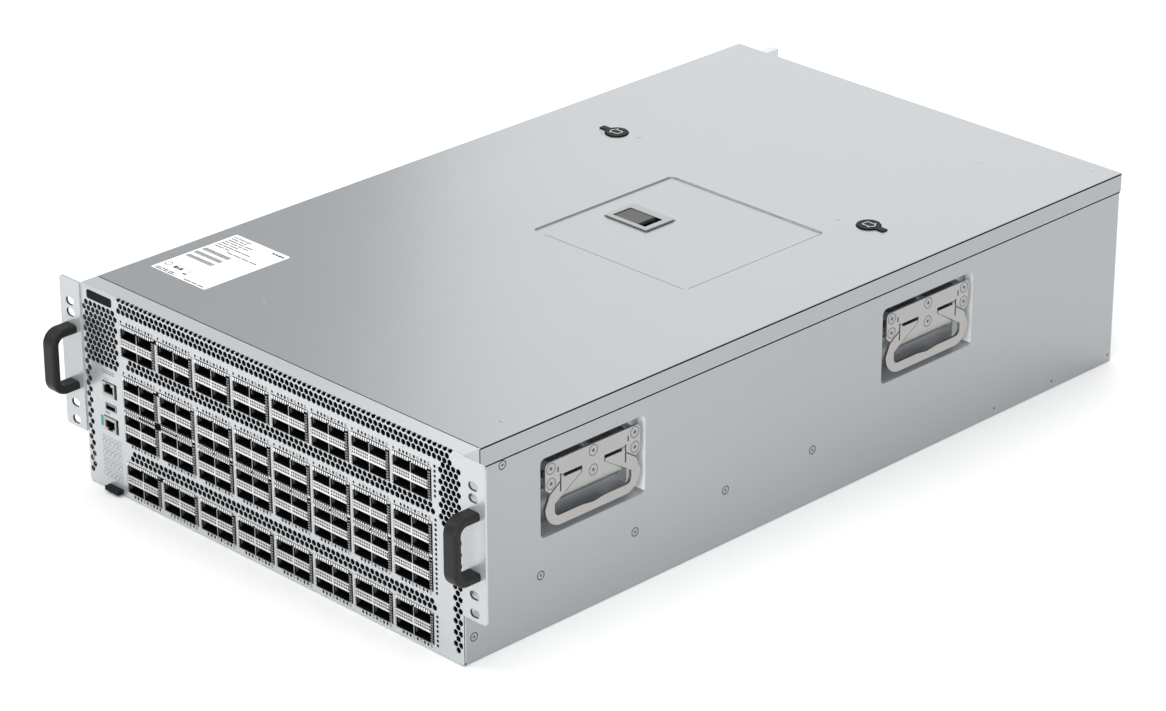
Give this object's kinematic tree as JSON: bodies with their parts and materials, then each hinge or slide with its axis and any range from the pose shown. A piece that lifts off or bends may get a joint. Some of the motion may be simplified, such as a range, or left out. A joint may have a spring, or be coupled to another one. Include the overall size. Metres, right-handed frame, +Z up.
{
  "type": "modular chassis switch",
  "caption": "Rack-mount network switch chassis with rows of stacked transceiver ports, perforated front, lifting handles, sliding cover and rear fan trays and power supplies.",
  "frame": {"origin": "centre of the chassis floor's underside", "axes": "+X to the right seen from the front, +Y to the back, +Z up"},
  "size_m": [0.4898, 0.8204, 0.1747],
  "materials": {
    "body_paint": "fine satin powder coat",
    "plated_steel": "satin zinc plating",
    "handle_coat": "satin black powder coat",
    "cage_metal": "bright nickel plating",
    "black_plastic": "fine matt moulding",
    "latch_plastic": "satin moulding",
    "paddle_plastic": "satin moulding",
    "jack_shield": "satin nickel plating",
    "board": "solder mask",
    "sink_metal": "extruded, plain",
    "bus_copper": "tinned edges, bare copper faces",
    "fan_plastic": "matt moulding",
    "lever_plastic": "satin moulding"
  },
  "bodies": {
    "chassis_body": {"chassis": "body_paint", "body_screws": "plated_steel", "front_panel": "body_paint", "ear_left": "body_paint", "ear_right": "body_paint", "ear_handle_left": "handle_coat", "ear_handle_right": "handle_coat", "ear_screws": "plated_steel", "hinge_pins": "plated_steel", "lift_screws": "plated_steel", "port_cages_one": "cage_metal", "port_cages_two": "cage_metal", "port_cages_three": "cage_metal", "port_cages_four": "cage_metal", "network_jacks": "jack_shield", "serial_port": "jack_shield", "port_bracket": "plated_steel", "main_board": "board", "port_boards": "board", "board_posts": "plated_steel", "heat_sink": "sink_metal", "processor_card": "board", "bus_bars": "bus_copper", "rear_frame": "plated_steel", "power_board": "board", "fan_board": "board", "lift_plate_left_front": "body_paint", "lift_plate_left_rear": "body_paint", "lift_plate_right_front": "body_paint", "lift_plate_right_rear": "body_paint"},
    "cover_body": {"top_cover": "body_paint", "latch_frame": "latch_plastic"},
    "latch_body": {"cover_latch": "paddle_plastic"},
    "lock_body_left": {"cover_lock_left": "black_plastic"},
    "lock_body_right": {"cover_lock_right": "black_plastic"},
    "tag_body": {"info_tag": "black_plastic"},
    "lift_body_left_front": {"lift_handle_left_front": "body_paint"},
    "lift_body_left_rear": {"lift_handle_left_rear": "body_paint"},
    "lift_body_right_front": {"lift_handle_right_front": "body_paint"},
    "lift_body_right_rear": {"lift_handle_right_rear": "body_paint"},
    "supply_body_1": {"power_supply_1": "plated_steel"},
    "lever_body_1": {"supply_lever_1": "lever_plastic"},
    "tray_body_1": {"fan_tray_1": "plated_steel"},
    "rotor_body_1_lower": {"fan_rotor_1_lower": "fan_plastic"},
    "rotor_body_1_upper": {"fan_rotor_1_upper": "fan_plastic"},
    "supply_body_2": {"power_supply_2": "plated_steel"},
    "lever_body_2": {"supply_lever_2": "lever_plastic"},
    "tray_body_2": {"fan_tray_2": "plated_steel"},
    "rotor_body_2_lower": {"fan_rotor_2_lower": "fan_plastic"},
    "rotor_body_2_upper": {"fan_rotor_2_upper": "fan_plastic"},
    "supply_body_3": {"power_supply_3": "plated_steel"},
    "lever_body_3": {"supply_lever_3": "lever_plastic"},
    "tray_body_3": {"fan_tray_3": "plated_steel"},
    "rotor_body_3_lower": {"fan_rotor_3_lower": "fan_plastic"},
    "rotor_body_3_upper": {"fan_rotor_3_upper": "fan_plastic"},
    "supply_body_4": {"power_supply_4": "plated_steel"},
    "lever_body_4": {"supply_lever_4": "lever_plastic"},
    "tray_body_4": {"fan_tray_4": "plated_steel"},
    "rotor_body_4_lower": {"fan_rotor_4_lower": "fan_plastic"},
    "rotor_body_4_upper": {"fan_rotor_4_upper": "fan_plastic"}
  },
  "joints": [
    {"name": "cover_slide", "type": "slide", "parent": "chassis_body", "child": "cover_body", "axis": [0, 1, 0], "range_m": [0, 0.015]},
    {"name": "latch_lift", "type": "hinge", "parent": "cover_body", "child": "latch_body", "pos_m": [-0.0171, 0.02485, 0.1719], "axis": [0, -1, 0], "range_deg": [0, 60]},
    {"name": "lock_turn_left", "type": "hinge", "parent": "cover_body", "child": "lock_body_left", "pos_m": [-0.1444, 0.1456, 0.1735], "axis": [0, 0, -1], "range_deg": [0, 90]},
    {"name": "lock_turn_right", "type": "hinge", "parent": "cover_body", "child": "lock_body_right", "pos_m": [0.1444, 0.1456, 0.1735], "axis": [0, 0, 1], "range_deg": [0, 90]},
    {"name": "tag_pull", "type": "slide", "parent": "chassis_body", "child": "tag_body", "axis": [0, -1, 0], "range_m": [0, 0.035]},
    {"name": "lift_swing_left_front", "type": "hinge", "parent": "chassis_body", "child": "lift_body_left_front", "pos_m": [-0.2166, -0.2451, 0.1201], "axis": [0, 1, 0], "range_deg": [0, 90]},
    {"name": "lift_swing_left_rear", "type": "hinge", "parent": "chassis_body", "child": "lift_body_left_rear", "pos_m": [-0.2166, 0.1359, 0.1201], "axis": [0, 1, 0], "range_deg": [0, 90]},
    {"name": "lift_swing_right_front", "type": "hinge", "parent": "chassis_body", "child": "lift_body_right_front", "pos_m": [0.2166, -0.2451, 0.1201], "axis": [0, -1, 0], "range_deg": [0, 90]},
    {"name": "lift_swing_right_rear", "type": "hinge", "parent": "chassis_body", "child": "lift_body_right_rear", "pos_m": [0.2166, 0.1359, 0.1201], "axis": [0, -1, 0], "range_deg": [0, 90]},
    {"name": "supply_slide_1", "type": "slide", "parent": "chassis_body", "child": "supply_body_1", "axis": [0, 1, 0], "range_m": [0, 0.15]},
    {"name": "lever_swing_1", "type": "hinge", "parent": "supply_body_1", "child": "lever_body_1", "pos_m": [-0.1461, 0.383, 0.0213], "axis": [0, 0, 1], "range_deg": [0, 15]},
    {"name": "tray_slide_1", "type": "slide", "parent": "chassis_body", "child": "tray_body_1", "axis": [0, 1, 0], "range_m": [0, 0.058]},
    {"name": "fan_spin_1_lower", "type": "hinge", "parent": "tray_body_1", "child": "rotor_body_1_lower", "pos_m": [-0.09686, 0.35, 0.0433], "axis": [0, 1, 0], "continuous": true},
    {"name": "fan_spin_1_upper", "type": "hinge", "parent": "tray_body_1", "child": "rotor_body_1_upper", "pos_m": [-0.09686, 0.35, 0.1243], "axis": [0, 1, 0], "continuous": true},
    {"name": "supply_slide_2", "type": "slide", "parent": "chassis_body", "child": "supply_body_2", "axis": [0, 1, 0], "range_m": [0, 0.15]},
    {"name": "lever_swing_2", "type": "hinge", "parent": "supply_body_2", "child": "lever_body_2", "pos_m": [-0.1461, 0.383, 0.0638], "axis": [0, 0, 1], "range_deg": [0, 15]},
    {"name": "tray_slide_2", "type": "slide", "parent": "chassis_body", "child": "tray_body_2", "axis": [0, 1, 0], "range_m": [0, 0.058]},
    {"name": "fan_spin_2_lower", "type": "hinge", "parent": "tray_body_2", "child": "rotor_body_2_lower", "pos_m": [-0.00719, 0.35, 0.0433], "axis": [0, 1, 0], "continuous": true},
    {"name": "fan_spin_2_upper", "type": "hinge", "parent": "tray_body_2", "child": "rotor_body_2_upper", "pos_m": [-0.00719, 0.35, 0.1243], "axis": [0, 1, 0], "continuous": true},
    {"name": "supply_slide_3", "type": "slide", "parent": "chassis_body", "child": "supply_body_3", "axis": [0, 1, 0], "range_m": [0, 0.15]},
    {"name": "lever_swing_3", "type": "hinge", "parent": "supply_body_3", "child": "lever_body_3", "pos_m": [-0.1461, 0.383, 0.1063], "axis": [0, 0, 1], "range_deg": [0, 15]},
    {"name": "tray_slide_3", "type": "slide", "parent": "chassis_body", "child": "tray_body_3", "axis": [0, 1, 0], "range_m": [0, 0.058]},
    {"name": "fan_spin_3_lower", "type": "hinge", "parent": "tray_body_3", "child": "rotor_body_3_lower", "pos_m": [0.08249, 0.35, 0.0433], "axis": [0, 1, 0], "continuous": true},
    {"name": "fan_spin_3_upper", "type": "hinge", "parent": "tray_body_3", "child": "rotor_body_3_upper", "pos_m": [0.08249, 0.35, 0.1243], "axis": [0, 1, 0], "continuous": true},
    {"name": "supply_slide_4", "type": "slide", "parent": "chassis_body", "child": "supply_body_4", "axis": [0, 1, 0], "range_m": [0, 0.15]},
    {"name": "lever_swing_4", "type": "hinge", "parent": "supply_body_4", "child": "lever_body_4", "pos_m": [-0.1461, 0.383, 0.1488], "axis": [0, 0, 1], "range_deg": [0, 15]},
    {"name": "tray_slide_4", "type": "slide", "parent": "chassis_body", "child": "tray_body_4", "axis": [0, 1, 0], "range_m": [0, 0.058]},
    {"name": "fan_spin_4_lower", "type": "hinge", "parent": "tray_body_4", "child": "rotor_body_4_lower", "pos_m": [0.17216, 0.35, 0.0433], "axis": [0, 1, 0], "continuous": true},
    {"name": "fan_spin_4_upper", "type": "hinge", "parent": "tray_body_4", "child": "rotor_body_4_upper", "pos_m": [0.17216, 0.35, 0.1243], "axis": [0, 1, 0], "continuous": true}
  ]
}
